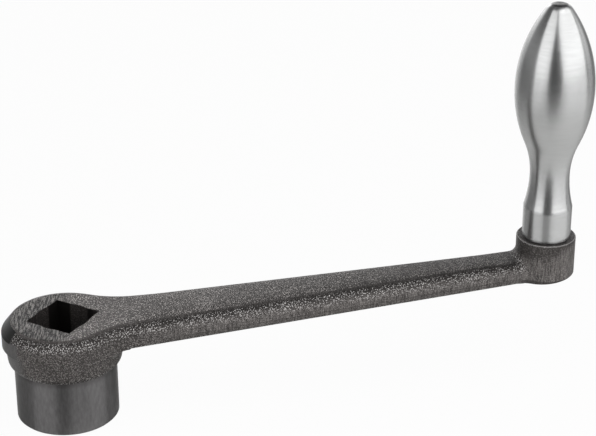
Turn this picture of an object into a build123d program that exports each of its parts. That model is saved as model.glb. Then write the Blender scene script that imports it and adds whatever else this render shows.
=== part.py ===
"""Crank handle: a cast crank arm with a broached square socket, and a machine handle screwed into its boss.

Frame: millimetres, +Z up along the hub axis, origin on that axis at the hub's bottom face, arm along +X.
Two pieces: crank_arm (one casting, machined where it fits other parts) and machine_handle (one turning).
"""

import os
from math import acos, asin, atan2, cos, hypot, radians, sin, sqrt, tan

from build123d import *

# ---- crank ------------------------------------------------------------------------------------------
crank_radius = 160.0             # hub axis to handle axis

# hub
hub_height = 35.05               # bottom face to top face
hub_turned_diameter = 33.7       # machined lower cylinder
hub_shoulder_height = 19.3       # where the machined cylinder stops
hub_edge_chamfer = 0.5
collar_foot_diameter = 37.5      # cast collar just above the shoulder
collar_foot_radius = 2.6         # rounded foot of the collar
collar_inset = 0.05              # the collar's top sits this far inside the head's side
head_diameter = 39.2             # cast head that the arm grows out of
head_thickness = 7.6             # top face to the underside of the head's rim

# square socket
socket_across_flats = 17.0
socket_clearance = 0.1
socket_turn = 8.0                # corner line of the square, from the arm's centre line, degrees
socket_pilot_bulge = 0.45        # depth of the pilot bore beyond the flats

# arm
arm_top_slope = 4.72             # degrees
arm_bottom_slope = 5.40          # degrees
arm_top_start = 6.9              # distance from the hub axis where the top starts to rise
arm_bottom_start = 17.5          # distance from the hub axis where the underside starts to rise
arm_half_width_root = 13.23      # half width, extrapolated to the hub axis
arm_side_taper = 2.235           # each side closes in by this angle, degrees
arm_plan_fillet = 25.0           # hollow corner between head and arm, seen from above
arm_top_radius = 3.7             # rounded upper edges
arm_bottom_radius = 1.5          # rounded lower edges
arm_bend_radius = 40.0           # where the level faces turn into the slopes
root_fillet_radius = 5.8         # hollow corner under the arm, at the collar
root_fillet_shift = 2.0          # the hollow fades out round the hub from this centre

# remains of the casting gate at the back of the head, ground off
gate_proud = 0.7                 # beyond the head's side
gate_radius = 17.0               # the stub's rounded end, seen from above
gate_thickness = 9.9             # top face to the underside of the stub
gate_chamfer = 1.5
gate_turn = 8.0                  # middle of the stub, from the arm's line, degrees
gate_grind_angle = 51.0          # slope of the ground cone, degrees
gate_grind_reach = 17.2          # radius where the cone meets the top face
gate_grind_span = 84.0           # round the hub, degrees
gate_grind_turn = -13.0          # middle of the ground cone, from the arm's line, degrees

# boss
boss_diameter = 19.6
boss_height = 14.2
boss_bottom_height = 40.3
boss_fillet_radius = 3.5
boss_rim_chamfer = 0.4
spot_face_margin = 1.0           # spot face beyond the boss's own radius

# ---- machine handle ---------------------------------------------------------------------------------
thread_diameter = 10.0
thread_clearance = 0.05          # radial, between the thread and its tapped hole
thread_recess = 0.6              # the stud stops this far short of the boss's underside
thread_end_chamfer = 1.0
tapped_hole_chamfer = 0.6
handle_length = 80.2
handle_belly_diameter = 25.6
handle_belly_arc = 46.0          # below the widest point
handle_tip_diameter = 6.1        # flat tip, before its edge is rounded
handle_neck_diameter = 13.0
handle_neck_height = 22.0        # narrowest point above the boss
handle_neck_arc = 28.0           # hollow between neck and belly
handle_collar_diameter = 16.0
handle_collar_length = 10.9
handle_collar_chamfer = 0.25
handle_tip_radius = 0.8

# ---- derived ----------------------------------------------------------------------------------------
hub_r = hub_turned_diameter / 2
foot_r = collar_foot_diameter / 2
head_r = head_diameter / 2
boss_r = boss_diameter / 2
boss_top_height = boss_bottom_height + boss_height
head_bottom = hub_height - head_thickness
socket_flats = socket_across_flats + socket_clearance
pilot_r = socket_flats / 2 + socket_pilot_bulge
gate_r = head_r + gate_proud
gate_bottom = hub_height - gate_thickness
tapped_r = thread_diameter / 2 + thread_clearance
far = 2 * head_r


def arm_top(x):
    """Height of the arm's top face."""
    return hub_height + (x - arm_top_start) * tan(radians(arm_top_slope))


def arm_bottom(x):
    """Height of the arm's underside."""
    return head_bottom + (x - arm_bottom_start) * tan(radians(arm_bottom_slope))


def arm_side(x):
    """Half width of the arm."""
    return arm_half_width_root - x * tan(radians(arm_side_taper))


# ---- crank arm --------------------------------------------------------------------------------------
# centre of the hollow corner between head and arm: tangent to the head's circle and to the arm's side
taper = radians(arm_side_taper)
corner_reach = head_r + arm_plan_fillet
corner_turn = asin((arm_half_width_root * cos(taper) + arm_plan_fillet) / corner_reach) - taper
corner_x = corner_reach * cos(corner_turn)
corner_y = corner_reach * sin(corner_turn)
on_head = (head_r * cos(corner_turn), head_r * sin(corner_turn))
on_side = (corner_x - arm_plan_fillet * sin(taper), corner_y - arm_plan_fillet * cos(taper))
arm_end = (crank_radius, arm_side(crank_radius))
# foot of the collar: its arc ends where the drafted wall up to the head's side begins
foot_centre = (
    foot_r - collar_foot_radius,
    hub_shoulder_height + sqrt(collar_foot_radius**2 - (hub_r - foot_r + collar_foot_radius) ** 2),
)
collar_top = (head_r - collar_inset, head_bottom + arm_bottom_radius)
rise = (collar_top[0] - foot_centre[0], collar_top[1] - foot_centre[1])
wall_turn = atan2(rise[1], rise[0]) - acos(collar_foot_radius / hypot(*rise))
foot_top = (
    foot_centre[0] + collar_foot_radius * cos(wall_turn),
    foot_centre[1] + collar_foot_radius * sin(wall_turn),
)
# hollow corner under the arm: it starts on the collar's wall and ends on the arm's underside
root_top = arm_bottom(foot_r + root_fillet_radius)
root_low = root_top - root_fillet_radius
root_high = root_top + arm_bottom_radius
root_line = foot_top[0] + (root_low - foot_top[1]) * tan(-wall_turn)
root_edge = root_line + root_fillet_radius

grind_height = hub_height - (gate_r - gate_grind_reach) * tan(radians(gate_grind_angle))
gate_top = hub_height - (head_r - gate_grind_reach) * tan(radians(gate_grind_angle))
grind_start = 180 + gate_grind_turn - gate_grind_span / 2

with BuildSketch() as plan_outline:
    with BuildLine():
        ThreePointArc(on_head, (-head_r, 0), (on_head[0], -on_head[1]))
        RadiusArc(on_head, on_side, -arm_plan_fillet)
        Line(on_side, arm_end)
        Line(arm_end, (arm_end[0], -arm_end[1]))
        Line((arm_end[0], -arm_end[1]), (on_side[0], -on_side[1]))
        RadiusArc((on_side[0], -on_side[1]), (on_head[0], -on_head[1]), -arm_plan_fillet)
    make_face()

# the hollow fades out round the collar and ends at the outline of the head and arm
with BuildPart() as arm_root:
    with BuildSketch(Plane.XZ):
        with BuildLine():
            Polyline(
                (root_line, root_low),
                (root_fillet_shift, root_low),
                (root_fillet_shift, root_high),
                (root_edge - arm_bottom_radius, root_high),
                (root_edge, root_top),
            )
            RadiusArc((root_edge, root_top), (root_line, root_low), -root_fillet_radius)
        make_face()
    revolve(axis=Axis((root_fillet_shift, 0, 0), (0, 0, 1)))
    extrude(plan_outline.sketch, amount=root_high, mode=Mode.INTERSECT)

with BuildPart() as gate_stub:
    with BuildSketch(Plane.XY.offset(gate_bottom)):
        with PolarLocations(gate_r - gate_radius, 1, start_angle=180 + gate_turn):
            Circle(gate_radius)
    extrude(amount=gate_top - gate_bottom)
    chamfer(gate_stub.faces().sort_by(Axis.Z)[0].edges(), gate_chamfer)
    with BuildSketch(Plane.XZ):
        with BuildLine():
            Polyline(
                (0, gate_bottom),
                (far, gate_bottom),
                (far, grind_height),
                (gate_r, grind_height),
                (gate_grind_reach, hub_height),
                (0, hub_height),
                close=True,
            )
        make_face()
    revolve(axis=Axis.Z, mode=Mode.INTERSECT)

with BuildPart() as crank_arm:
    # head and arm: the outline seen from above, then the side profile
    extrude(plan_outline.sketch, amount=boss_top_height)
    with BuildSketch(Plane.XZ) as side_profile:
        with BuildLine():
            Polyline(
                (-far, head_bottom),
                (-far, hub_height),
                (arm_top_start, hub_height),
                (crank_radius + boss_r, arm_top(crank_radius + boss_r)),
                (crank_radius + boss_r, arm_bottom(crank_radius + boss_r)),
                (arm_bottom_start, head_bottom),
                close=True,
            )
        make_face()
        fillet(side_profile.vertices().group_by(Axis.X)[1:-1], arm_bend_radius)
    extrude(amount=far, both=True, mode=Mode.INTERSECT)
    # rounded edges all round, except at the end that is buried in the boss
    top_faces = [f for f in crank_arm.faces() if f.normal_at().Z > 0.5]
    top_rim = ShapeList([e for f in top_faces for e in f.edges() if abs(e.position_at(0.5).Y) > 1])
    fillet(top_rim, arm_top_radius)
    low_faces = [f for f in crank_arm.faces() if f.normal_at().Z < -0.5]
    low_rim = ShapeList([e for f in low_faces for e in f.edges() if abs(e.position_at(0.5).Y) > 1])
    fillet(low_rim, arm_bottom_radius)

    # boss, with a hollow corner where the arm runs into it
    boss_root = arm_bottom(crank_radius) - 2 * boss_fillet_radius
    with BuildSketch(Plane.XY.offset(boss_root)):
        with Locations((crank_radius, 0)):
            Circle(boss_r)
    extrude(amount=boss_top_height - boss_root)
    junction = ShapeList(
        e
        for e in crank_arm.edges()
        if e.position_at(0.5).X < crank_radius
        and all(
            abs(sqrt((e.position_at(t).X - crank_radius) ** 2 + e.position_at(t).Y ** 2) - boss_r) < 0.001
            and boss_root + 0.1 < e.position_at(t).Z < boss_top_height - 0.1
            for t in (0.1, 0.5, 0.9)
        )
    )
    fillet(junction, boss_fillet_radius)
    # underside: the arm's slope carries on below the boss, and the boss is spot-faced level
    with BuildSketch(Plane.XZ) as underside:
        with BuildLine():
            Polyline(
                (crank_radius - 3 * boss_r, arm_bottom(crank_radius - 3 * boss_r)),
                (crank_radius + 2 * boss_r, arm_bottom(crank_radius + 2 * boss_r)),
                (crank_radius + 2 * boss_r, 0),
                (crank_radius - 3 * boss_r, 0),
                close=True,
            )
        make_face()
    extrude(amount=far, both=True, mode=Mode.SUBTRACT)
    with BuildSketch(Plane.XY.offset(boss_bottom_height)):
        with Locations((crank_radius, 0)):
            Circle(boss_r + spot_face_margin)
    extrude(amount=-far / 2, mode=Mode.SUBTRACT)
    rim = crank_arm.faces().sort_by(Axis.Z)[-1].edges()
    chamfer(rim, boss_rim_chamfer)

    # collar under the head: a rounded foot on the machined shoulder, then a drafted wall
    with BuildSketch(Plane.XZ):
        with BuildLine():
            Line((0, 0), (hub_r, 0))
            Line((hub_r, 0), (hub_r, hub_shoulder_height))
            RadiusArc((hub_r, hub_shoulder_height), foot_top, -collar_foot_radius)
            Line(foot_top, collar_top)
            Line(collar_top, (0, collar_top[1]))
            Line((0, collar_top[1]), (0, 0))
        make_face()
    revolve(axis=Axis.Z)
    chamfer(crank_arm.faces().sort_by(Axis.Z)[0].edges(), hub_edge_chamfer)

    # hollow corner under the arm, then the stub of the gate behind the head and the cone ground on it
    add(arm_root.part)
    add(gate_stub.part)
    with BuildSketch(Plane.XZ.rotated((0, 0, grind_start))):
        with BuildLine():
            Polyline(
                (gate_grind_reach, hub_height),
                (gate_r, grind_height),
                (far, grind_height),
                (far, hub_height + gate_thickness),
                (gate_grind_reach, hub_height + gate_thickness),
                close=True,
            )
        make_face()
    revolve(axis=Axis.Z, revolution_arc=gate_grind_span, mode=Mode.SUBTRACT)

    # broached square with the relief left by its pilot bore
    with BuildSketch(Plane.XY):
        Rectangle(socket_flats, socket_flats, rotation=45 + socket_turn)
        Circle(pilot_r)
    extrude(amount=boss_top_height, mode=Mode.SUBTRACT)

    # tapped hole through the boss
    with BuildSketch(Plane.XZ):
        with BuildLine():
            Polyline(
                (crank_radius, boss_bottom_height),
                (crank_radius + tapped_r + tapped_hole_chamfer, boss_bottom_height),
                (crank_radius + tapped_r, boss_bottom_height + tapped_hole_chamfer),
                (crank_radius + tapped_r, boss_top_height - tapped_hole_chamfer),
                (crank_radius + tapped_r + tapped_hole_chamfer, boss_top_height),
                (crank_radius, boss_top_height),
                close=True,
            )
        make_face()
    revolve(axis=Axis((crank_radius, 0, 0), (0, 0, 1)), mode=Mode.SUBTRACT)

# ---- machine handle ---------------------------------------------------------------------------------
# the hollow neck arc, the belly arc and the crown arc above the widest point touch each other; heights are
# above the boss
belly_r = handle_belly_diameter / 2
neck_r = handle_neck_diameter / 2
collar_r = handle_collar_diameter / 2
thread_r = thread_diameter / 2
stud_length = boss_height - thread_recess
centre_gap = handle_belly_arc + handle_neck_arc
centre_drop = neck_r + handle_neck_arc + handle_belly_arc - belly_r
belly_height = handle_neck_height + sqrt(centre_gap**2 - centre_drop**2)
touch = handle_neck_arc / centre_gap
arcs_meet = (
    neck_r + handle_neck_arc - centre_drop * touch,
    handle_neck_height + (belly_height - handle_neck_height) * touch,
)
tip_r = handle_tip_diameter / 2
crown_height = handle_length - belly_height
crown_arc = (crown_height**2 + (belly_r - tip_r) ** 2) / (2 * (belly_r - tip_r))
flare_height = handle_neck_height - handle_collar_length
flare_arc = (flare_height**2 + (collar_r - neck_r) ** 2) / (2 * (collar_r - neck_r))
handle_plane = Plane((crank_radius, 0, boss_top_height), x_dir=(1, 0, 0), z_dir=(0, -1, 0))

with BuildPart() as machine_handle:
    with BuildSketch(handle_plane) as half:
        with BuildLine():
            Polyline(
                (0, handle_length),
                (0, -stud_length),
                (thread_r - thread_end_chamfer, -stud_length),
                (thread_r, thread_end_chamfer - stud_length),
                (thread_r, 0),
                (collar_r - handle_collar_chamfer, 0),
                (collar_r, handle_collar_chamfer),
                (collar_r, handle_collar_length),
            )
            RadiusArc((collar_r, handle_collar_length), (neck_r, handle_neck_height), flare_arc)
            RadiusArc((neck_r, handle_neck_height), arcs_meet, handle_neck_arc)
            RadiusArc(arcs_meet, (belly_r, belly_height), -handle_belly_arc)
            RadiusArc((belly_r, belly_height), (tip_r, handle_length), -crown_arc)
            Line((tip_r, handle_length), (0, handle_length))
        make_face()
        tip = half.vertices().filter_by(lambda v: v.X > thread_clearance).sort_by(Axis.Y)[-1]
        fillet(tip, handle_tip_radius)
    revolve(axis=Axis((crank_radius, 0, 0), (0, 0, 1)))

os.makedirs("parts", exist_ok=True)
for name, piece in (("crank_arm", crank_arm.part), ("machine_handle", machine_handle.part)):
    piece.label = name
    export_step(piece, f"parts/{name}.step")
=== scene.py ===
"""Looks for the crank handle: rough cast iron, turned steel, a pale floor and soft studio light.

Metres, in the frame of the CAD model: +Z up along the hub's axis, arm along +X. Sizes named _MM are in
millimetres, angles in degrees.
"""

from math import acos, asin, cos, degrees, pi, radians, sin, sqrt, tan

import bmesh
import bpy
import numpy as np
from mathutils import Euler, Matrix, Vector


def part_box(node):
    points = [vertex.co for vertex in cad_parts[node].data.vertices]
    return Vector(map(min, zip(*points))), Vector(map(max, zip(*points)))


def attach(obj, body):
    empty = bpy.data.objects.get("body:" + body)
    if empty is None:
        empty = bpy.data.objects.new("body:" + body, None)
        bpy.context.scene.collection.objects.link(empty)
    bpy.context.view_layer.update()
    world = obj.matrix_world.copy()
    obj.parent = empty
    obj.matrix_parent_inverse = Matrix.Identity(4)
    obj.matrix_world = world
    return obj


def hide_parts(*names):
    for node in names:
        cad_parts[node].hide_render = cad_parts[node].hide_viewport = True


MM = 0.001

# camera
CAMERA_TARGET = Vector((0.07718, 0.0, 0.06563))
CAMERA_DISTANCE = 0.61133
CAMERA_AZIMUTH = -7.484     # from straight in front of the arm
CAMERA_ELEVATION = 25.261
CAMERA_ROLL = -0.089
CAMERA_LENS = 114.16

# studio: directions go out from the object, right of the camera and up
STUDIO_CENTRE = Vector((0.09, 0.0, 0.05))
SOFTBOXES = {
    "right_box": {"right": 54.0, "up": 35.0, "distance": 1.2, "size": (2.2, 1.75), "radiance": 1.35},
    "left_box": {"right": -48.0, "up": 25.0, "distance": 1.2, "size": (1.05, 1.7), "radiance": 1.15},
    "front_top": {"right": 28.0, "up": 70.0, "distance": 1.2, "size": (0.9, 0.45), "radiance": 0.7},
    "side_box": {"right": 112.0, "up": 18.0, "distance": 1.2, "size": (0.5, 1.1), "radiance": 0.45},
    "back_box": {"right": 188.0, "up": 16.0, "distance": 1.6, "size": (0.9, 0.95), "radiance": 0.6},
}
ROOM_GREY = 0.34            # what is not a softbox or the backdrop, low down
ROOM_TOP = 0.11             # the same, high up
ROOM_RISE = (4.0, 34.0)     # elevations between which it darkens
ROOM_FRONT = 0.1            # share of it in the gap between the softboxes, where the camera stands
FRONT_TURN = -8.0           # middle of that gap, right of the camera
FRONT_EDGE = (0.8, 0.93)    # cosines from that middle between which it fades in
BACKDROP_TURN = 188.0       # the white backdrop behind the object: its middle, right of the camera
BACKDROP_WIDTH = 41.0       # its half width
BACKDROP_BLUR = 16.0        # how far its sides fade, to both sides of that width
BACKDROP_RISE = (22.0, 42.0)    # elevations between which it ends

# floor, where "reflected" says how the object's reflections see it
FLOOR_SIZE = 6.0
FLOOR_GAP_MM = 0.02         # below the hub's bottom face
FLOOR_COLOUR = (0.8, 0.8, 0.79)
FLOOR_WHITENED = 0.96       # share of plain white that the camera sees
FLOOR_DIM = 1.14            # reflected: brightness
FLOOR_POLISH = 0.95         # reflected: how far it mirrors the studio at a low angle
MIRROR_DIM = 0.62           # reflected: brightness of what it mirrors
SHADE_DEPTH = 0.24          # reflected: how far it darkens toward the camera, in two wedges
HANDLE_SHADE = {"turn": FRONT_TURN, "spread": 28.0, "near": 0.1, "far": 0.18}
HUB_SHADE = {"turn": 19.0, "spread": 24.0, "near": 0.015, "far": 0.03}

# handle: heights are above the boss's top face
BELLY_ARC_MM = 46.0         # below the widest point
TIP_DIAMETER_MM = 6.1       # flat tip, before its edge is rounded
TIP_RADIUS_MM = 3.5
NECK_DIAMETER_MM = 13.0
NECK_HEIGHT_MM = 22.0
NECK_ARC_MM = 28.0
COLLAR_DIAMETER_MM = 16.0
COLLAR_LENGTH_MM = 10.9
COLLAR_CHAMFER_MM = 0.25
THREAD_DIAMETER_MM = 10.0
THREAD_PITCH_MM = 1.5
THREAD_DEPTH_MM = 0.92
THREAD_END_MM = 1.0
THREAD_STOP_MM = 0.4        # where the groove ends, below the boss's top face
STUD_STOP_MM = 0.02         # where the stud widens into the collar, below that face
HANDLE_INSET_MM = 0.002     # keeps the widest ring inside the CAD model
HANDLE_SEGMENTS = 192
HANDLE_CREASE = 28.0        # edges between faces that meet more sharply stay crisp

# crank: distances are from the hub's axis
HUB_HEIGHT_MM = 35.05
HUB_RADIUS_MM = 16.85       # turned cylinder
HUB_SHOULDER_MM = 19.3      # its top
HEAD_RADIUS_MM = 19.6
HEAD_BOTTOM_MM = 27.45
SOCKET_CORNER_MM = 12.1
BORE_RADIUS_MM = 8.95       # just inside the pilot bore, whose arcs remain in the socket's walls
GRIND_TURN = -13.0          # the cone ground on the gate, from the arm's line
GRIND_SPAN = 84.0
GRIND_ANGLE = 51.0
GRIND_REACH_MM = 17.2
ARM_TOP_START_MM = 6.9
ARM_TOP_RISE = 0.08257      # slope of the arm's top
ARM_BOTTOM_START_MM = 17.5
ARM_BOTTOM_RISE = 0.09453   # slope of the arm's underside
ARM_HALF_WIDTH_MM = 13.23   # extrapolated to the hub's axis
ARM_TAPER = 0.03903
BOSS_START_MM = 147.0
BOSS_BOTTOM_MM = 40.3       # height of the boss's underside
CROWN_LIFT_MM = 0.3         # the crowned top's middle above the flat
CROWN_DROP_MM = 1.3         # the crowned top's edges below its middle
CROWN_FLAT = 0.15           # share of the half width that stays flat
CROWN_START_MM = (14.0, 34.0)   # where the crown sets in
CROWN_END_MM = (138.0, 150.0)   # where it ends
CROWN_DEPTH_MM = (1.0, 7.5)     # below the top, where it fades out
CREASE_ANGLE = 2.0          # between the faces at an edge that stays crisp
SLICES = (                  # planes that refine the casting: axis, start and spacing in mm, halvings
    (0, -50.0, 4.0, 6),
    (1, -32.0, 2.0, 5),
)

# cast surface
PEBBLES_PER_MM = 2.2
GRIT_PER_MM = 3.4
GRAIN_DEPTH_MM = 0.2
GRAIN_ON_TOP = 2.2          # depth on level faces, as a share of that on the walls
RELIEF = {"marks": 0.8, "scratches": 2.4, "fine": 0.12}     # depth, as a share of the grain's
GRAIN_CONTRAST_AND_SHADE = (0.9, 2.2)       # of the grain's tones, on the walls and on level faces, where the higher one is partly painted light and shade on the grain's relief
SCRATCH_TURN = 8.0          # scratches on the faced top, from the Y axis
HEAD_END_MM = (30.0, 15.0)  # where the head's look sets in, coming from the arm
FACED_END_MM = (5.0, -2.0)  # the same for its scratched top
SIDES_START_MM = (22.0, 40.0)   # where the arm's sides begin to be dressed
TOP_SPAN_MM = (10.0, 160.0)     # ends of the arm's top
TOP_PAINTED_LIGHT = (0.75, -0.3)     # painted light: how much brighter the top is there
STRIP_START_MM = (24.0, 40.0)   # where the painted shade along the arm's lower edge begins
STRIP_HEIGHT_MM = 2.1
BOSS_REACH_MM = (13.5, 11.0)    # where the boss's look sets in, toward the handle's axis
PATCH_SPAN_MM = (166.0, 152.0)  # the dark patch of painted shade under its rim, from the end to the arm
PATCH_DEPTH_MM = (2.2, 6.5)     # how deep that patch is there
PATCH_RAGGED_MM = 6.0
COVER = {                   # how far each of these hides what lies below it; the shoulders' and the rim's are painted highlights, the top's dark band, the edges' and the collar's band are painted shade
    "shoulder_highlight": 0.9, "groove": 0.75, "sides": 0.45, "edges": 0.8, "scratched": 0.85, "under": 0.4, "rim": 0.4,
}
IRON_DARK = (0.058, 0.053, 0.051, 1)
IRON_PALE = (0.375, 0.35, 0.338, 1)
# painted highlight, on the shoulders' pale grains and along the boss's rim
IRON_HIGHLIGHT = (0.75, 0.73, 0.72, 1)
SCRATCH_DARK = (0.003, 0.003, 0.003, 1)
SCRATCH_PALE = (0.305, 0.29, 0.278, 1)
BARE_DARK = (0.12, 0.117, 0.118, 1)
BARE_PALE = (0.24, 0.235, 0.237, 1)
# painted shade: the ground facet near black
GROUND_FACET_SHADE = (0.04, 0.04, 0.04, 1)
BROACHED_DARK = (0.1, 0.09, 0.087, 1)
BROACHED_PALE = (0.27, 0.25, 0.24, 1)
# painted shade in the socket's far corners
CORNER_SHADE = (0.03, 0.027, 0.026, 1)

# turned steel
STEEL_DARK = (0.56, 0.565, 0.565, 1)
STEEL_PALE = (0.68, 0.685, 0.685, 1)
STEEL_TIP = (0.15, 0.15, 0.15, 1)
RING_DEPTH_MM = 0.006


def sind(angle):
    return sin(radians(angle))


def cosd(angle):
    return cos(radians(angle))


# ---- shader helpers ----------------------------------------------------------------------------------
class Tree:
    """A node tree with short calls: t.add(kind, inputs, settings) returns the node."""

    def __init__(self, owner):
        owner.use_nodes = True
        self.tree = owner.node_tree
        self.tree.nodes.clear()

    def fill(self, socket, value):
        if isinstance(value, bpy.types.NodeSocket):
            self.tree.links.new(value, socket)
        else:
            socket.default_value = value

    def add(self, kind, inputs=None, **settings):
        node = self.tree.nodes.new("ShaderNode" + kind)
        for name, value in settings.items():
            setattr(node, name, value)
        for name, value in (inputs or {}).items():
            self.fill(node.inputs[name], value)
        return node

    def math(self, operation, a, b=0.0):
        return self.add("Math", {0: a, 1: b}, operation=operation).outputs[0]

    def chain(self, operation, first, *others):
        for value in others:
            first = self.math(operation, first, value)
        return first

    def times(self, *values):
        return self.chain("MULTIPLY", *values)

    def plus(self, *values):
        return self.chain("ADD", *values)

    def minus(self, *values):
        return self.chain("SUBTRACT", *values)

    def most(self, *values):
        return self.chain("MAXIMUM", *values)

    def length(self, vector):
        return self.add("VectorMath", {0: vector}, operation="LENGTH").outputs["Value"]

    def dot(self, vector, other):
        return self.add("VectorMath", {0: vector, 1: other}, operation="DOT_PRODUCT").outputs["Value"]

    def stretch(self, vector, parts):
        return self.add("VectorMath", {0: vector, 1: parts}, operation="MULTIPLY").outputs[0]

    def scale(self, vector, factor):
        return self.add("VectorMath", {0: vector, "Scale": factor}, operation="SCALE").outputs[0]

    def ramp(self, value, low, high, to_low=0.0, to_high=1.0, smooth=True):
        kind = "SMOOTHSTEP" if smooth else "LINEAR"
        inputs = {"Value": value, "From Min": low, "From Max": high, "To Min": to_low, "To Max": to_high}
        return self.add("MapRange", inputs, interpolation_type=kind).outputs[0]

    def mix(self, factor, a, b):
        """Colour a where the factor is 0 and b where it is 1."""
        node = self.add("Mix", {0: factor, 6: a, 7: b}, data_type="RGBA")
        return node.outputs[2]

    def surface(self, shader, world=False):
        output = self.add("OutputWorld" if world else "OutputMaterial")
        self.tree.links.new(shader, output.inputs["Surface"])


# ---- camera and studio -------------------------------------------------------------------------------
def add_camera():
    data = bpy.data.cameras.new("camera")
    data.lens = CAMERA_LENS
    data.sensor_width = 36.0
    data.clip_start = 0.01
    camera = bpy.data.objects.new("camera", data)
    bpy.context.collection.objects.link(camera)
    turn = Euler((radians(90 - CAMERA_ELEVATION), 0, radians(CAMERA_AZIMUTH))).to_matrix()
    turn = turn @ Matrix.Rotation(radians(CAMERA_ROLL), 3, "Z")
    place = CAMERA_TARGET + turn @ Vector((0, 0, CAMERA_DISTANCE))
    camera.matrix_world = Matrix.Translation(place) @ turn.to_4x4()
    bpy.context.scene.camera = camera


def direction(right, up):
    """Unit vector from the object, right of the camera and up by these angles."""
    heading = CAMERA_AZIMUTH - 90 + right
    return Vector((cosd(heading) * cosd(up), sind(heading) * cosd(up), sind(up)))


def add_softbox(name, right, up, distance, size, radiance):
    data = bpy.data.lights.new(name, "AREA")
    data.shape = "RECTANGLE"
    data.size, data.size_y = size
    data.energy = radiance * pi * size[0] * size[1]
    lamp = bpy.data.objects.new(name, data)
    lamp.visible_camera = False
    bpy.context.collection.objects.link(lamp)
    away = direction(right, up)
    lamp.location = STUDIO_CENTRE + away * distance
    lamp.rotation_euler = away.to_track_quat("Z", "Y").to_euler()


def add_world():
    """White to the camera. Reflections see a white backdrop behind the object and a grey room elsewhere."""
    world = bpy.data.worlds.new("studio")
    bpy.context.scene.world = world
    t = Tree(world)
    rays = t.add("LightPath").outputs
    way = t.add("TexCoord").outputs["Generated"]
    height = t.add("SeparateXYZ", {0: way}).outputs["Z"]

    behind = t.ramp(t.dot(way, direction(BACKDROP_TURN, 0)),
                    cosd(BACKDROP_WIDTH + BACKDROP_BLUR), cosd(BACKDROP_WIDTH - BACKDROP_BLUR))
    low = t.ramp(height, sind(BACKDROP_RISE[0]), sind(BACKDROP_RISE[1]), 1.0, 0.0)
    seen = t.most(rays["Is Glossy Ray"], rays["Is Transmission Ray"])
    backdrop = t.times(behind, low, seen)

    room = t.ramp(height, sind(ROOM_RISE[0]), sind(ROOM_RISE[1]), ROOM_GREY, ROOM_TOP)
    gap = t.ramp(t.dot(way, direction(FRONT_TURN, 0)), *FRONT_EDGE, 1.0, ROOM_FRONT)
    level = t.most(t.times(room, gap), backdrop, rays["Is Camera Ray"])
    t.surface(t.add("Background", {"Color": level}).outputs[0], world=True)


def front_shade(t, x, turn, spread, near, far):
    """A wedge on the floor, from x on the arm's line toward the camera, that starts between near and far."""
    floor = t.add("TexCoord").outputs["Object"]
    place = t.add("Mapping", {"Vector": floor, "Location": (-x, 0, 0)}).outputs[0]
    out = t.dot(place, direction(turn, 0))
    wedge = t.ramp(t.math("DIVIDE", out, t.length(place)), cosd(spread * 1.5), cosd(spread * 0.6))
    return t.times(wedge, t.ramp(out, near, far))


def floor_paper():
    """Pale matt paper, nearly white to the camera. Reflections see it polished, with a shade in front."""
    material = bpy.data.materials.new("floor")
    t = Tree(material)
    rays = t.add("LightPath").outputs
    shade = t.most(front_shade(t, handle_axis().x, **HANDLE_SHADE), front_shade(t, 0.0, **HUB_SHADE))
    shade = t.ramp(shade, 0.0, 1.0, 1.0, 1 - SHADE_DEPTH)
    dim = t.mix(rays["Is Glossy Ray"], (1, 1, 1, 1), t.times(shade, FLOOR_DIM))
    matt = t.add("BsdfDiffuse", {"Color": t.stretch(FLOOR_COLOUR, dim)}).outputs[0]
    white = t.add("Emission", {"Color": (1, 1, 1, 1), "Strength": 1.0}).outputs[0]
    whitened = t.times(rays["Is Camera Ray"], FLOOR_WHITENED)
    paper = t.add("MixShader", {0: whitened, 1: matt, 2: white}).outputs[0]
    mirror = t.add("BsdfGlossy", {"Color": t.times(shade, MIRROR_DIM), "Roughness": 0.25}).outputs[0]
    grazing = t.ramp(t.add("LayerWeight", {"Blend": 0.5}).outputs["Facing"], 0.25, 0.8, 0.0, FLOOR_POLISH)
    polished = t.times(rays["Is Glossy Ray"], grazing)
    t.surface(t.add("MixShader", {0: polished, 1: paper, 2: mirror}).outputs[0])
    return material


def add_floor():
    half = FLOOR_SIZE / 2
    corners = [(-half, -half, 0), (half, -half, 0), (half, half, 0), (-half, half, 0)]
    mesh = bpy.data.meshes.new("floor")
    mesh.from_pydata(corners, [], [(0, 1, 2, 3)])
    mesh.materials.append(floor_paper())
    floor_object = bpy.data.objects.new("floor", mesh)
    floor_object.location.z = -FLOOR_GAP_MM * MM
    bpy.context.collection.objects.link(floor_object)


# ---- places from the frame ---------------------------------------------------------------------------
def handle_axis():
    low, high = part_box("machine_handle")
    return Vector(((low.x + high.x) / 2, (low.y + high.y) / 2, 0))


def boss_top():
    """Height of the boss's top face, the casting's highest, in millimetres."""
    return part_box("crank_arm")[1].z / MM


# ---- materials ---------------------------------------------------------------------------------------
def millimetres(t):
    """Object coordinates in millimetres: the vector and its three parts."""
    vector = t.scale(t.add("TexCoord").outputs["Object"], 1 / MM)
    return vector, t.add("SeparateXYZ", {0: vector}).outputs


def stretched_noise(t, vector, stretch, scale):
    """Noise drawn out along the axes where stretch is small."""
    inputs = {"Vector": t.stretch(vector, stretch), "Scale": scale, "Detail": 2.0, "Roughness": 0.6}
    return t.add("TexNoise", inputs).outputs[0]


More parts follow.
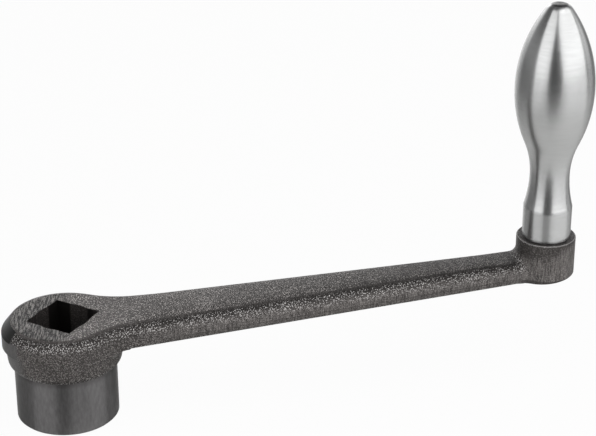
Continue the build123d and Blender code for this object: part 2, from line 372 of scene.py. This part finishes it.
def casting_noise(t, mm):
    """The noises that the casting's surface is made of."""
    drawn = t.stretch(mm, (1.0, 0.7, 1.0))
    inputs = {"Vector": drawn, "Scale": PEBBLES_PER_MM, "Smoothness": 0.5, "Randomness": 1.0}
    pebbles = t.add("TexVoronoi", inputs, feature="SMOOTH_F1").outputs["Distance"]
    inputs = {"Vector": drawn, "Scale": GRIT_PER_MM, "Detail": 3.0, "Roughness": 0.65}
    grit = t.add("TexNoise", inputs).outputs[0]
    across = t.add("Mapping", {"Vector": mm, "Rotation": (0, 0, radians(SCRATCH_TURN))}).outputs[0]
    return {
        "grain": t.minus(t.times(grit, 1.3), t.times(pebbles, 0.9)),
        "marks": stretched_noise(t, mm, (1.0, 1.0, 0.12), 2.4),
        "scratches": stretched_noise(t, across, (1.0, 0.11, 1.0), 2.0),
        "fine": stretched_noise(t, mm, (1.0, 1.0, 0.3), 1.2),
        "cloud": t.add("TexNoise", {"Vector": mm, "Scale": 0.12, "Detail": 2.0}).outputs[0],
    }


def ground_gate(t, axes, flat, radius):
    """Masks of the cone ground on the gate's stub, and of the smoother stub and flank round it."""
    x, z = axes["X"], axes["Z"]
    middle = 180 + GRIND_TURN
    facing = t.math("DIVIDE", t.dot(flat, (cosd(middle), sind(middle), 0)), radius)
    cone = t.times(t.minus(radius, GRIND_REACH_MM), -tan(radians(GRIND_ANGLE)))
    off_cone = t.math("ABSOLUTE", t.minus(z, HUB_HEIGHT_MM, cone))
    span = t.ramp(facing, cosd(GRIND_SPAN / 2 + 0.5), cosd(GRIND_SPAN / 2 - 0.5))
    ground = t.times(t.ramp(off_cone, 0.35, 0.15), span)
    back = t.ramp(t.math("DIVIDE", x, radius), -0.66, -0.84)
    flank = t.times(back, t.ramp(z, HEAD_BOTTOM_MM + 2.05, HEAD_BOTTOM_MM - 0.45))
    stub = t.times(t.ramp(radius, HEAD_RADIUS_MM + 0.05, HEAD_RADIUS_MM + 0.2), t.ramp(x, 0.0, -2.0))
    return ground, t.most(flank, stub)


def casting_regions(t, axes, level):
    """Masks, 0 to 1, of the casting's machined, ground and dressed faces."""
    x, y, z = axes["X"], axes["Y"], axes["Z"]
    flat = t.add("CombineXYZ", {"X": x, "Y": y}).outputs[0]
    radius = t.length(flat)
    ground, flank = ground_gate(t, axes, flat, radius)
    turned = t.times(t.ramp(z, HUB_SHOULDER_MM + 0.3, HUB_SHOULDER_MM - 0.2),
                     t.ramp(radius, HUB_RADIUS_MM + 0.35, HUB_RADIUS_MM + 0.15))
    faced = t.times(t.ramp(z, HUB_HEIGHT_MM - 0.12, HUB_HEIGHT_MM - 0.04), t.ramp(x, *FACED_END_MM))
    inside = t.times(t.ramp(z, HUB_HEIGHT_MM - 0.05, HUB_HEIGHT_MM - 0.3), t.ramp(z, 0.02, 0.1))
    broached = t.times(inside, t.ramp(radius, SOCKET_CORNER_MM + 0.6, SOCKET_CORNER_MM + 0.3))
    # the socket's corners past the bore's arcs, for painted shade, stronger on the far side (+Y)
    corners = t.times(broached, t.ramp(radius, BORE_RADIUS_MM + 0.05, BORE_RADIUS_MM + 0.5),
                      t.ramp(y, 1.5, 4.5, 0.35, 1.0))
    return {
        "turned": turned, "faced": faced, "broached": broached, "corners": corners, "ground": ground,
        "smooth": t.most(turned, broached, ground, t.times(flank, 0.85)),
        "sides": t.times(t.ramp(level, 0.75, 0.3), t.ramp(x, *SIDES_START_MM)),
    }


def casting_bump(t, level, on, noise):
    """Grain, dressing marks up and down the sides, scratches across the faced top, fine tool marks."""
    rough = t.minus(1.0, on["smooth"], t.times(on["faced"], 0.5))
    height = t.plus(
        t.times(noise["grain"], rough, t.ramp(level, 0.5, 0.9, 1.0, GRAIN_ON_TOP)),
        t.times(noise["marks"], on["sides"], RELIEF["marks"]),
        t.times(noise["scratches"], on["faced"], RELIEF["scratches"]),
        t.times(noise["fine"], on["smooth"], RELIEF["fine"]),
    )
    return t.add("Bump", {"Height": height, "Distance": GRAIN_DEPTH_MM * MM, "Strength": 1.0}).outputs[0]


def grain_tone(t, level, noise):
    """From dark pits to pale grains, with less contrast on the walls than on the top, where the extra
    contrast is painted light and shade on the grain's relief.
    """
    cloud = t.times(t.minus(noise["cloud"], 0.5), 0.25)
    tone = t.ramp(t.plus(noise["grain"], cloud), 0.12, 0.64)
    return t.plus(0.5, t.times(t.minus(tone, 0.5), t.ramp(level, 0.1, 0.9, *GRAIN_CONTRAST_AND_SHADE)))


def cast_skin(t, axes, level, tone):
    """The bare skin, with a painted highlight on the shoulders' grains, a painted dark band of shade round
    the top, and painted light on the top, which darkens along the arm.
    """
    colour = t.mix(tone, IRON_DARK, IRON_PALE)
    head = t.ramp(axes["X"], *HEAD_END_MM)
    brow = t.times(head, t.ramp(axes["Z"], HEAD_BOTTOM_MM - 1.0, HEAD_BOTTOM_MM + 1.0))
    lowest = t.ramp(brow, 0.0, 1.0, 0.15, -0.02)
    shoulder = t.times(t.ramp(level, lowest, t.plus(lowest, 0.3)), t.ramp(level, 0.93, 0.85))
    # painted highlight on the pale grains of the shoulders
    shoulder_highlight = t.times(t.ramp(tone, 0.35, 0.85), shoulder, COVER["shoulder_highlight"])
    colour = t.mix(shoulder_highlight, colour, IRON_HIGHLIGHT)

    # the groove here is painted shade: a dark band where the top begins to tilt toward its edge
    tilt = t.minus(t.ramp(head, 0.0, 1.0, 0.985, 0.9985), level)
    tilt = t.math("DIVIDE", tilt, t.ramp(head, 0.0, 1.0, 0.03, 0.012))
    groove = t.times(t.ramp(tilt, 0.0, 1.0), t.ramp(level, 0.8, 0.9), COVER["groove"])
    colour = t.mix(groove, colour, IRON_DARK)

    # painted light: level faces brighter near the hub and darker toward the boss
    along = t.ramp(axes["X"], *TOP_SPAN_MM, *TOP_PAINTED_LIGHT, smooth=False)
    return t.scale(colour, t.plus(1.0, t.times(t.ramp(level, 0.8, 0.95), along)))


def dark_edges(t, axes, noise):
    """Painted shade on the arm's lowest strip, on the boss under its rim and round its sole, with a thin
    dark line above the strip.
    """
    x, y, z = axes["X"], axes["Y"], axes["Z"]
    rise = t.times(t.minus(x, ARM_BOTTOM_START_MM), ARM_BOTTOM_RISE)
    above = t.minus(z, t.plus(HEAD_BOTTOM_MM, rise))
    arm = t.times(t.ramp(x, *STRIP_START_MM), t.ramp(x, BOSS_START_MM + 4.0, BOSS_START_MM))
    # painted shade along the arm's lowest strip
    strip = t.times(t.ramp(above, STRIP_HEIGHT_MM + 0.1, STRIP_HEIGHT_MM - 0.2, 0.0, 0.3), arm)
    line = t.times(t.ramp(t.math("ABSOLUTE", t.minus(above, STRIP_HEIGHT_MM)), 0.3, 0.1, 0.0, 0.6), arm)

    # painted shade under the boss's rim and round its sole
    from_axis = t.add("CombineXYZ", {"X": t.minus(x, handle_axis().x / MM), "Y": y}).outputs[0]
    boss = t.ramp(t.length(from_axis), *BOSS_REACH_MM)
    ragged = t.times(t.minus(noise["cloud"], 0.5), PATCH_RAGGED_MM)
    deep = t.plus(t.ramp(x, *PATCH_SPAN_MM, *PATCH_DEPTH_MM), ragged)
    below = t.math("DIVIDE", t.minus(boss_top(), z), deep)
    patch = t.times(t.ramp(below, 1.3, 0.5), boss, t.ramp(noise["grain"], 0.75, 0.25))
    sole = t.times(t.ramp(z, BOSS_BOTTOM_MM + 1.6, BOSS_BOTTOM_MM + 1.1), boss)
    return t.most(strip, line, patch, sole)


def dressed_sides(t, axes, on, noise, colour):
    """The sides, streaked by the belt, and the edges darkened with painted shade."""
    streaked = t.mix(t.ramp(noise["marks"], 0.3, 0.7), IRON_DARK, IRON_PALE)
    colour = t.mix(t.times(on["sides"], COVER["sides"]), colour, streaked)
    # painted shade on the edges
    return t.mix(t.times(dark_edges(t, axes, noise), COVER["edges"]), colour, IRON_DARK)


def machined_faces(t, on, noise, tone, colour):
    """The faced top, the turned hub, the ground gate painted near black as shade, and the broached socket
    with its corners painted dark as shade.
    """
    scratched = t.mix(t.ramp(noise["scratches"], 0.47, 0.59), SCRATCH_DARK, SCRATCH_PALE)
    colour = t.mix(t.times(on["faced"], COVER["scratched"]), colour, scratched)
    colour = t.mix(on["smooth"], colour, t.mix(noise["fine"], BARE_DARK, BARE_PALE))
    # painted shade: the ground facet near black
    colour = t.mix(on["ground"], colour, GROUND_FACET_SHADE)
    colour = t.mix(on["broached"], colour, t.mix(tone, BROACHED_DARK, BROACHED_PALE))
    # painted shade in the socket's far corners
    return t.mix(on["corners"], colour, CORNER_SHADE)


def edge_lines(t, axes, on, colour):
    """Painted shade in a band under the collar and a painted highlight along the boss's rim."""
    x, z = axes["X"], axes["Z"]
    # painted shade under the collar
    under = t.times(on["turned"], t.ramp(z, HUB_SHOULDER_MM - 2.4, HUB_SHOULDER_MM - 0.4), COVER["under"])
    colour = t.mix(under, colour, IRON_DARK)
    top = boss_top()
    # painted highlight along the boss's rim
    rim = t.times(t.ramp(x, BOSS_START_MM - 1.0, BOSS_START_MM + 1.0), t.ramp(z, top - 0.3, top - 0.2),
                  t.ramp(z, top - 0.02, top - 0.08), COVER["rim"])
    return t.mix(rim, colour, IRON_HIGHLIGHT)


def cast_iron():
    """Rough cast iron: turned hub, faced head, broached socket, ground gate, sides dressed with a belt."""
    material = bpy.data.materials.new("cast_iron")
    t = Tree(material)
    mm, axes = millimetres(t)
    normal = t.add("SeparateXYZ", {0: t.add("NewGeometry").outputs["Normal"]}).outputs
    level = t.math("ABSOLUTE", normal["Z"])
    on = casting_regions(t, axes, level)
    noise = casting_noise(t, mm)
    tone = grain_tone(t, level, noise)
    colour = cast_skin(t, axes, level, tone)
    colour = dressed_sides(t, axes, on, noise, colour)
    colour = machined_faces(t, on, noise, tone, colour)
    colour = edge_lines(t, axes, on, colour)
    shader = t.add("BsdfPrincipled", {
        "Base Color": colour,
        "Metallic": t.ramp(on["turned"], 0.0, 1.0, 0.8, 1.0),
        "Roughness": t.minus(t.ramp(on["smooth"], 0.0, 1.0, 0.38, 0.34), t.times(on["turned"], 0.06)),
        "Normal": casting_bump(t, level, on, noise),
        "Anisotropic": t.times(on["turned"], 0.75),
        "Anisotropic Rotation": 0.25,
        "Tangent": t.add("Tangent", direction_type="RADIAL", axis="Z").outputs[0],
    })
    t.surface(shader.outputs[0])
    return material


def turned_steel():
    """Bright steel with fine rings left by the turning tool and a darker flat at the tip."""
    material = bpy.data.materials.new("turned_steel")
    t = Tree(material)
    mm, axes = millimetres(t)
    height = axes["Z"]
    inputs = {"W": height, "Scale": 3.5, "Detail": 5.0, "Roughness": 0.7}
    rings = t.add("TexNoise", inputs, noise_dimensions="1D").outputs[0]
    inputs = {"Vector": t.stretch(mm, (0.15, 0.15, 2.0)), "Scale": 1.0, "Detail": 3.0}
    colour = t.mix(t.add("TexNoise", inputs).outputs[0], STEEL_DARK, STEEL_PALE)
    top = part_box("machine_handle")[1].z / MM
    colour = t.mix(t.ramp(height, top - 0.5, top - 0.1), colour, STEEL_TIP)
    bump = t.add("Bump", {"Height": rings, "Distance": RING_DEPTH_MM * MM, "Strength": 1.0}).outputs[0]
    shader = t.add("BsdfPrincipled", {
        "Base Color": colour,
        "Metallic": 1.0,
        "Roughness": 0.27,
        "Anisotropic": 0.65,
        "Anisotropic Rotation": 0.25,
        "Tangent": t.add("Tangent", direction_type="RADIAL", axis="Z").outputs[0],
        "Normal": bump,
    })
    t.surface(shader.outputs[0])
    return material


# ---- machine handle ----------------------------------------------------------------------------------
def arc(centre, radius, start, end, steps):
    """Points of an arc from start to end, without its first point."""
    turns = [start + (end - start) * (i + 1) / steps for i in range(steps)]
    return [(centre[0] + radius * cosd(turn), centre[1] + radius * sind(turn)) for turn in turns]


def straight(a, b, steps):
    """Points from a to b, without a."""
    shares = [(i + 1) / steps for i in range(steps)]
    return [(a[0] + (b[0] - a[0]) * share, a[1] + (b[1] - a[1]) * share) for share in shares]


def stud_profile(stud):
    """(radius, height above the boss) along the stud and the collar, in millimetres."""
    collar_r = COLLAR_DIAMETER_MM / 2
    thread_r = THREAD_DIAMETER_MM / 2
    points = [(0.0, -stud)]
    points += straight(points[-1], (thread_r - THREAD_END_MM, -stud), 6)
    points += straight(points[-1], (thread_r, THREAD_END_MM - stud), 8)
    points += straight(points[-1], (thread_r, -STUD_STOP_MM), 110)
    points += straight(points[-1], (collar_r - COLLAR_CHAMFER_MM, 0.0), 6)
    points += straight(points[-1], (collar_r, COLLAR_CHAMFER_MM), 2)
    points += straight(points[-1], (collar_r, COLLAR_LENGTH_MM), 14)
    return points


def grip_profile(belly_r, length):
    """(radius, height above the boss) from the collar to the tip, in millimetres, as arcs that touch."""
    neck_r = NECK_DIAMETER_MM / 2
    throat = COLLAR_DIAMETER_MM / 2 - neck_r
    flare = NECK_HEIGHT_MM - COLLAR_LENGTH_MM
    flare_r = (flare**2 + throat**2) / (2 * throat)
    flare_turn = degrees(acos((flare_r - throat) / flare_r))
    # the hollow arc at the neck and the round one of the belly
    arcs = BELLY_ARC_MM + NECK_ARC_MM
    drop = neck_r + NECK_ARC_MM + BELLY_ARC_MM - belly_r
    belly_height = NECK_HEIGHT_MM + sqrt(arcs**2 - drop**2)
    meet = degrees(acos(drop / arcs))
    # the crown arc above the widest point, and a small round between it and the flat end
    narrowing = belly_r - TIP_DIAMETER_MM / 2
    crown_arc = ((length - belly_height) ** 2 + narrowing**2) / (2 * narrowing)
    tip_y = length - TIP_RADIUS_MM
    tip_turn = degrees(asin((tip_y - belly_height) / (crown_arc - TIP_RADIUS_MM)))
    tip_x = belly_r - crown_arc + (crown_arc - TIP_RADIUS_MM) * cosd(tip_turn)

    points = arc((neck_r + flare_r, NECK_HEIGHT_MM), flare_r, 180 + flare_turn, 180, 16)
    points += arc((neck_r + NECK_ARC_MM, NECK_HEIGHT_MM), NECK_ARC_MM, 180, 180 - meet, 20)
    points += arc((belly_r - BELLY_ARC_MM, belly_height), BELLY_ARC_MM, -meet, 0, 28)
    points += arc((belly_r - crown_arc, belly_height), crown_arc, 0, tip_turn, 44)
    points += arc((tip_x, tip_y), TIP_RADIUS_MM, tip_turn, 90, 8)
    points += straight(points[-1], (0.0, length), 5)
    return points


def thread_cut(height, turn, low, high):
    """Depth of the thread's groove below its crest, in millimetres."""
    along = (height / THREAD_PITCH_MM + turn / (2 * pi)) % 1.0
    groove = max(0.0, 1 - abs(along - 0.5) / 0.44)
    fade = min(1.0, max(0.0, (height - low) / 0.5), max(0.0, (high - height) / 0.8))
    return THREAD_DEPTH_MM * groove * fade


def add_ring(mesh, radius, height, stud, base):
    """The vertices of one ring of the handle, or the single one on its axis."""
    z = (base + height) * MM
    if radius < 1e-6:
        return [mesh.verts.new((0, 0, z))]
    threaded = -stud < height < -STUD_STOP_MM and radius > THREAD_DIAMETER_MM / 2 - 0.01
    ring = []
    for i in range(HANDLE_SEGMENTS):
        turn = 2 * pi * i / HANDLE_SEGMENTS
        cut = thread_cut(height, turn, -stud, -THREAD_STOP_MM) if threaded else 0
        r = (radius - cut) * MM
        ring.append(mesh.verts.new((r * cos(turn), r * sin(turn), z)))
    return ring


def join_rings(mesh, a, b):
    for i in range(HANDLE_SEGMENTS):
        j = (i + 1) % HANDLE_SEGMENTS
        corners = [a[i % len(a)], a[j % len(a)], b[j % len(b)], b[i % len(b)]]
        mesh.faces.new([v for k, v in enumerate(corners) if v not in corners[:k]])


def add_handle(steel):
    """The turning. It stands for the CAD node, with a thread on its stud and a rounder edge at its tip."""
    low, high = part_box("machine_handle")
    base = boss_top()
    stud = base - low.z / MM
    belly_r = (high.x - low.x) / 2 / MM - HANDLE_INSET_MM
    profile = stud_profile(stud) + grip_profile(belly_r, high.z / MM - base)
    shape = bmesh.new()
    rings = [add_ring(shape, radius, height, stud, base) for radius, height in profile]
    for a, b in zip(rings, rings[1:]):
        join_rings(shape, a, b)
    bmesh.ops.recalc_face_normals(shape, faces=shape.faces)
    mesh = bpy.data.meshes.new("turned_handle")
    shape.to_mesh(mesh)
    shape.free()
    mesh.shade_smooth()
    mesh.set_sharp_from_angle(angle=radians(HANDLE_CREASE))
    mesh.materials.append(steel)
    handle = bpy.data.objects.new("turned_handle", mesh)
    handle.location = handle_axis()
    bpy.context.collection.objects.link(handle)
    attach(handle, "root")
    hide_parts("machine_handle")


# ---- crank: the CAD surface, refined so that it can take the arm's crowned top -------------------------
def corner_data(node):
    """Unique points, triangles and the normal at each corner of each triangle of a CAD node."""
    mesh = node.data
    mesh.calc_loop_triangles()
    points = np.empty(len(mesh.vertices) * 3)
    mesh.vertices.foreach_get("co", points)
    loops = np.empty(len(mesh.loop_triangles) * 3, int)
    mesh.loop_triangles.foreach_get("loops", loops)
    vertex_of = np.empty(len(mesh.loops), int)
    mesh.loops.foreach_get("vertex_index", vertex_of)
    normals = np.empty(len(mesh.loops) * 3)
    mesh.corner_normals.foreach_get("vector", normals)
    points, same = np.unique(np.round(points.reshape(-1, 3), 8), axis=0, return_inverse=True)
    triangles = same.reshape(-1)[vertex_of[loops]].reshape(-1, 3)
    return points, triangles, normals.reshape(-1, 3)[loops].reshape(-1, 3, 3)


def unit(vectors):
    return vectors / np.maximum(np.linalg.norm(vectors, axis=-1, keepdims=True), 1e-12)


def end_tangent(chord, first, second):
    """Tangent of an edge at one end, from the normals there of the two faces that meet in the edge."""
    crease = np.cross(first, second)
    size = np.linalg.norm(crease, axis=1, keepdims=True)
    along = crease / np.maximum(size, 1e-12)
    on_crease = along * np.sum(chord * along, axis=1, keepdims=True)
    normal = unit(first + second)
    on_face = chord - normal * np.sum(chord * normal, axis=1, keepdims=True)
    return np.where(size > sind(CREASE_ANGLE), on_crease, on_face)


def where_cut(starts, stops, low, step):
    """The share along each edge where a plane cuts it, and whether it does, from its ends on one axis."""
    reach = stops - starts
    middle = (starts + stops) / 2
    plane = low + (np.floor((middle - low) / step) + 0.5) * step
    share = (plane - starts) / np.where(abs(reach) > 1e-9, reach, 1)
    margin = 0.02 * MM / np.maximum(abs(reach), 1e-9)
    return share, (share > margin) & (share < 1 - margin) & (abs(reach) > 1e-9)


def slice_once(points, triangles, normals, axis, low, step):
    """Cuts the mesh by evenly spaced planes, with new points on the surface that the normals describe."""
    ends = np.stack([triangles, np.roll(triangles, -1, axis=1)], axis=2).reshape(-1, 2)
    edges, edge_of = np.unique(np.sort(ends, axis=1), axis=0, return_inverse=True)
    edge_of = edge_of.reshape(-1)
    starts, stops = points[edges[:, 0]], points[edges[:, 1]]
    share, split = where_cut(starts[:, axis], stops[:, axis], low, step)

    # the normals at both ends of each edge, in the two faces that meet there
    forward = (ends[:, 0] < ends[:, 1])[:, None]
    here, there = normals.reshape(-1, 3), np.roll(normals, -1, axis=1).reshape(-1, 3)
    at_start, at_stop = np.where(forward, here, there), np.where(forward, there, here)
    order = np.argsort(edge_of, kind="stable")
    first = order[np.searchsorted(edge_of[order], np.arange(len(edges)), "left")]
    last = order[np.searchsorted(edge_of[order], np.arange(len(edges)), "right") - 1]
    leave = end_tangent(stops - starts, at_start[first], at_start[last])
    arrive = end_tangent(stops - starts, at_stop[first], at_stop[last])

    t = share[:, None]
    curve = (1 + 2 * t) * (1 - t) ** 2 * starts + t * t * (3 - 2 * t) * stops
    curve += t * (1 - t) ** 2 * leave - t * t * (1 - t) * arrive
    new_index = np.full(len(edges), -1)
    new_index[split] = len(points) + np.arange(split.sum())
    t = t[edge_of]
    between = unit(at_start * (1 - t) + at_stop * t).reshape(-1, 3, 3)
    points = np.vstack([points, curve[split]])
    return points, *split_triangles(triangles, normals, new_index[edge_of].reshape(-1, 3), between)


def split_triangles(triangles, normals, middles, halfway):
    """Each triangle becomes 1 to 4, by which of its edges have a middle point."""
    corners = np.concatenate([triangles, middles], axis=1)
    corner_normals = np.concatenate([normals, halfway], axis=1)
    cut = middles >= 0
    patterns = {
        (1, 0, 0): ((0, 3, 2), (3, 1, 2)),
        (0, 1, 0): ((0, 1, 4), (0, 4, 2)),
        (0, 0, 1): ((0, 1, 5), (5, 1, 2)),
        (1, 1, 0): ((3, 1, 4), (0, 3, 2), (3, 4, 2)),
        (0, 1, 1): ((4, 2, 5), (0, 1, 4), (0, 4, 5)),
        (1, 0, 1): ((0, 3, 5), (3, 1, 2), (3, 2, 5)),
        (1, 1, 1): ((0, 3, 5), (3, 1, 4), (5, 4, 2), (3, 4, 5)),
    }
    keep = ~cut.any(axis=1)
    made = [(triangles[keep], normals[keep])]
    for pattern, pieces in patterns.items():
        rows = (cut == np.array(pattern, bool)).all(axis=1)
        for piece in pieces:
            made.append((corners[rows][:, piece], corner_normals[rows][:, piece]))
    return np.vstack([m[0] for m in made]), np.vstack([m[1] for m in made])


def smoothstep(value, low, high):
    t = np.clip((value - low) / (high - low), 0, 1)
    return t * t * (3 - 2 * t)


def crown(x, y, z):
    """How far the casting's surface stands above (or below) the CAD surface, along Z, in millimetres."""
    half_width = ARM_HALF_WIDTH_MM - x * ARM_TAPER
    across = np.clip(abs(y) / half_width, 0, 1.05)
    drop = CROWN_DROP_MM * np.maximum(across - CROWN_FLAT, 0) ** 2 / (1 - CROWN_FLAT) ** 2
    along = smoothstep(x, *CROWN_START_MM) * (1 - smoothstep(x, *CROWN_END_MM))
    top = HUB_HEIGHT_MM + (x - ARM_TOP_START_MM) * ARM_TOP_RISE
    depth = 1 - smoothstep(top - z, *CROWN_DEPTH_MM)
    return (CROWN_LIFT_MM - drop) * along * depth


def shift_along_z(points, normals, corners, height):
    """Moves points by height(x, y, z) along Z and turns the corner normals with the surface."""
    e = 0.01
    x, y, z = points.T
    slope = np.stack([
        (height(x + e, y, z) - height(x - e, y, z)) / (2 * e),
        (height(x, y + e, z) - height(x, y - e, z)) / (2 * e),
        (height(x, y, z + e) - height(x, y, z - e)) / (2 * e),
    ], axis=1)
    moved = points.copy()
    moved[:, 2] += height(x, y, z)
    slope = slope[corners]
    turned = normals - slope * normals[..., 2:3] / (1 + slope[..., 2:3])
    return moved, unit(turned)


def add_crank(iron):
    """The casting. It stands for the CAD node and keeps its shape, apart from the arm's slight crown."""
    points, triangles, normals = corner_data(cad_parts["crank_arm"])
    for axis, start, spacing, halvings in SLICES:
        for halving in range(halvings, 0, -1):
            step = spacing * MM * 2**halving
            points, triangles, normals = slice_once(points, triangles, normals, axis, start * MM, step)
    points, normals = shift_along_z(points / MM, normals, triangles, crown)
    mesh = bpy.data.meshes.new("cast_crank")
    mesh.from_pydata((points * MM).tolist(), [], triangles.tolist())
    mesh.shade_smooth()
    mesh.normals_split_custom_set(normals.reshape(-1, 3).tolist())
    mesh.materials.append(iron)
    crank = bpy.data.objects.new("cast_crank", mesh)
    bpy.context.collection.objects.link(crank)
    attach(crank, "root")
    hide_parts("crank_arm")


# ---- the scene ---------------------------------------------------------------------------------------
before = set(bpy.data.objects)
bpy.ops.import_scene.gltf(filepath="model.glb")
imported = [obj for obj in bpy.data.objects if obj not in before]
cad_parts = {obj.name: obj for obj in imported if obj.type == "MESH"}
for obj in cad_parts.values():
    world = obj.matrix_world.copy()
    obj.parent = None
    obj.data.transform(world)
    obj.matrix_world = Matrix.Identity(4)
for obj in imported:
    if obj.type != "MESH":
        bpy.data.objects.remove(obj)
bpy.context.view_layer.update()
bpy.context.scene.view_settings.view_transform = "Standard"
add_camera()
add_world()
add_floor()
for box_name, settings in SOFTBOXES.items():
    add_softbox(box_name, **settings)
add_crank(cast_iron())
add_handle(turned_steel())
